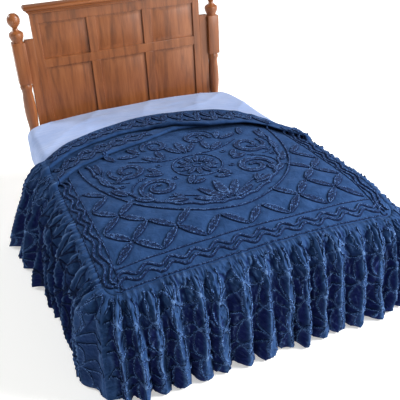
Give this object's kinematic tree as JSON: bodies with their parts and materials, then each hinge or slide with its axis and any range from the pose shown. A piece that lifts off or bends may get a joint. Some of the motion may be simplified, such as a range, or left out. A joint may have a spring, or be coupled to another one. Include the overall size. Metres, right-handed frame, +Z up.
{
  "type": "chenille bedspread on a bed",
  "caption": "Tufted chenille bedspread with a gathered floor-length drop, lying over a plain wooden bed with its mattress and headboard.",
  "frame": {"origin": "centre of the model's footprint on the floor", "axes": "+X to the right seen from the foot of the bed, +Y from the foot towards the headboard, +Z up"},
  "size_m": [1.956, 2.287, 1.311],
  "materials": {
    "navy_chenille": "tufted cotton chenille, matt",
    "navy_drop": "gathered cotton cloth with tufted lines, matt",
    "pale_blue_sheet": "smooth cotton sheeting",
    "ticking": "plain woven cover",
    "warm_wood": "satin clear finish over stained wood"
  },
  "bodies": {
    "root": {"top_panel": "navy_chenille", "left_drop": "navy_drop", "foot_drop": "navy_drop", "right_drop": "navy_drop", "mattress": "pale_blue_sheet", "foundation": "ticking", "left_rail": "warm_wood", "right_rail": "warm_wood", "foot_rail": "warm_wood", "left_foot_leg": "warm_wood", "right_foot_leg": "warm_wood", "left_post": "warm_wood", "right_post": "warm_wood", "headboard": "warm_wood", "headboard_crown": "warm_wood"}
  },
  "joints": []
}
